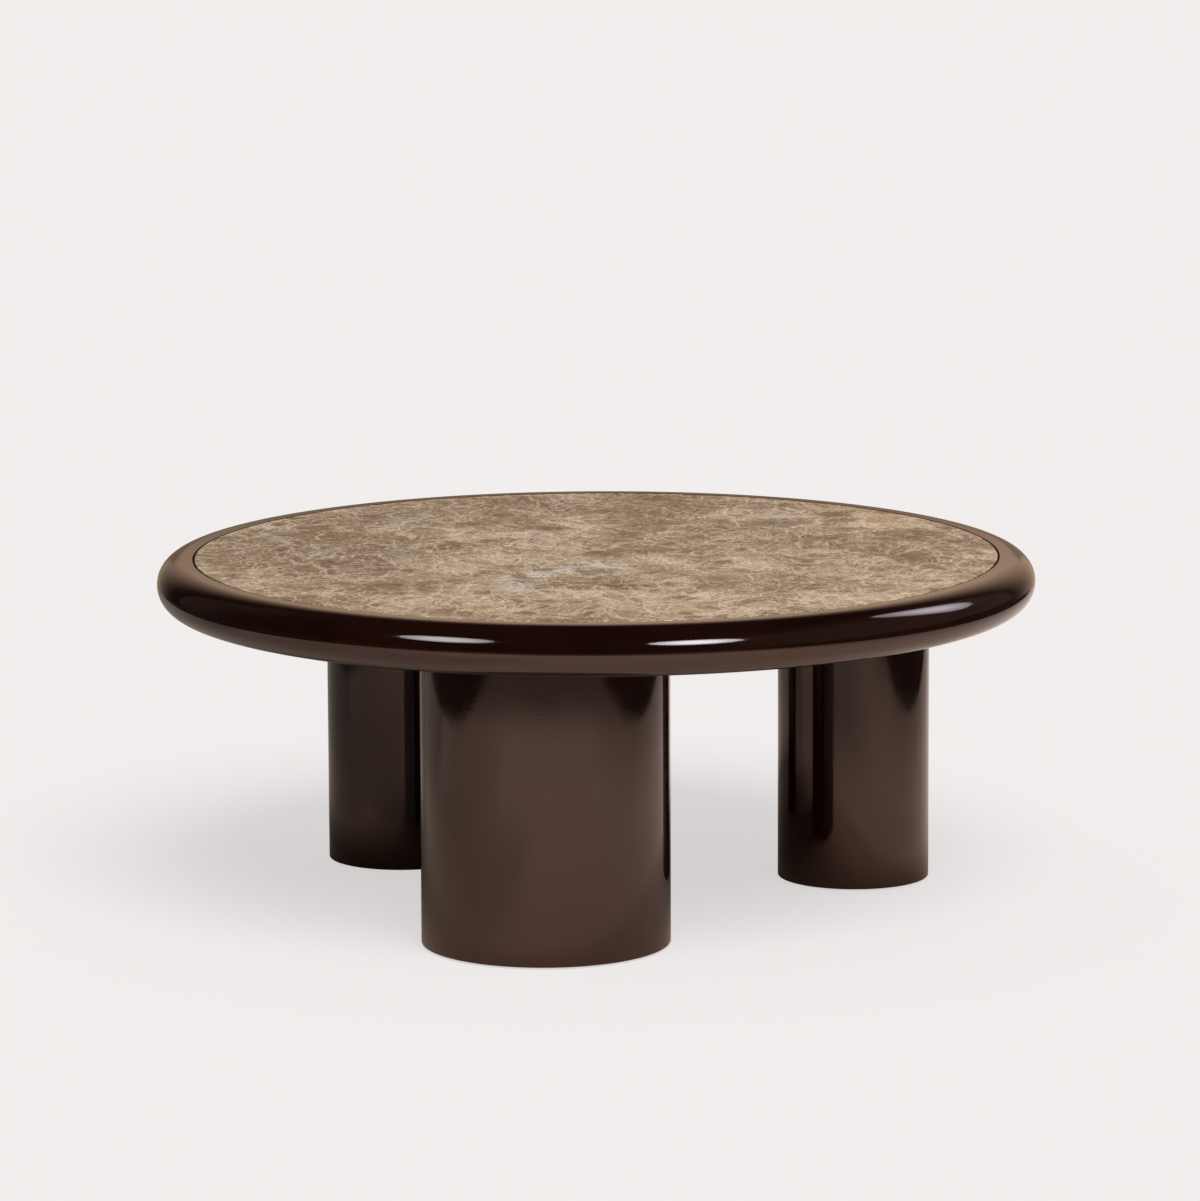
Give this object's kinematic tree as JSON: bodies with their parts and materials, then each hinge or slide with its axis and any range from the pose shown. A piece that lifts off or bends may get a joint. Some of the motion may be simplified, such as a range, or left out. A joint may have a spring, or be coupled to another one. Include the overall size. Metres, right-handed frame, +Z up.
{
  "type": "round cocktail table",
  "caption": "Round cocktail table: thick bullnosed lacquer top with a flush marble inset, on plain drum legs of two widths.",
  "frame": {"origin": "on the floor, under the centre of the round top", "axes": "+Z up; the fat leg stands towards -Y; +X to the right for someone facing the fat leg"},
  "size_m": [0.9997, 0.9998, 0.396],
  "materials": {
    "lacquer": "dark brown high-gloss lacquer on fibreboard and plywood",
    "marble": "brown veined marble, smooth polish",
    "plywood": "bare birch plywood",
    "nylon": "black nylon glide",
    "silicone": "translucent bedding silicone",
    "zinc_steel": "zinc-plated steel"
  },
  "bodies": {
    "root": {"bedding_dots": "silicone", "deck_panel": "plywood", "deck_screws": "zinc_steel", "front_leg_base_plug": "plywood", "front_leg_glide_screws": "zinc_steel", "front_leg_glides": "nylon", "front_leg_shell": "lacquer", "front_leg_stud": "zinc_steel", "front_leg_stud_nuts": "zinc_steel", "front_leg_stud_washers": "zinc_steel", "front_leg_tee_nut": "zinc_steel", "front_leg_top_plug": "plywood", "left_leg_base_plug": "plywood", "left_leg_glide_screws": "zinc_steel", "left_leg_glides": "nylon", "left_leg_shell": "lacquer", "left_leg_stud": "zinc_steel", "left_leg_stud_nuts": "zinc_steel", "left_leg_stud_washers": "zinc_steel", "left_leg_tee_nut": "zinc_steel", "left_leg_top_plug": "plywood", "marble_inset": "marble", "right_leg_base_plug": "plywood", "right_leg_glide_screws": "zinc_steel", "right_leg_glides": "nylon", "right_leg_shell": "lacquer", "right_leg_stud": "zinc_steel", "right_leg_stud_nuts": "zinc_steel", "right_leg_stud_washers": "zinc_steel", "right_leg_tee_nut": "zinc_steel", "right_leg_top_plug": "plywood", "rim_ring": "lacquer", "underside_panel": "lacquer"}
  },
  "joints": []
}
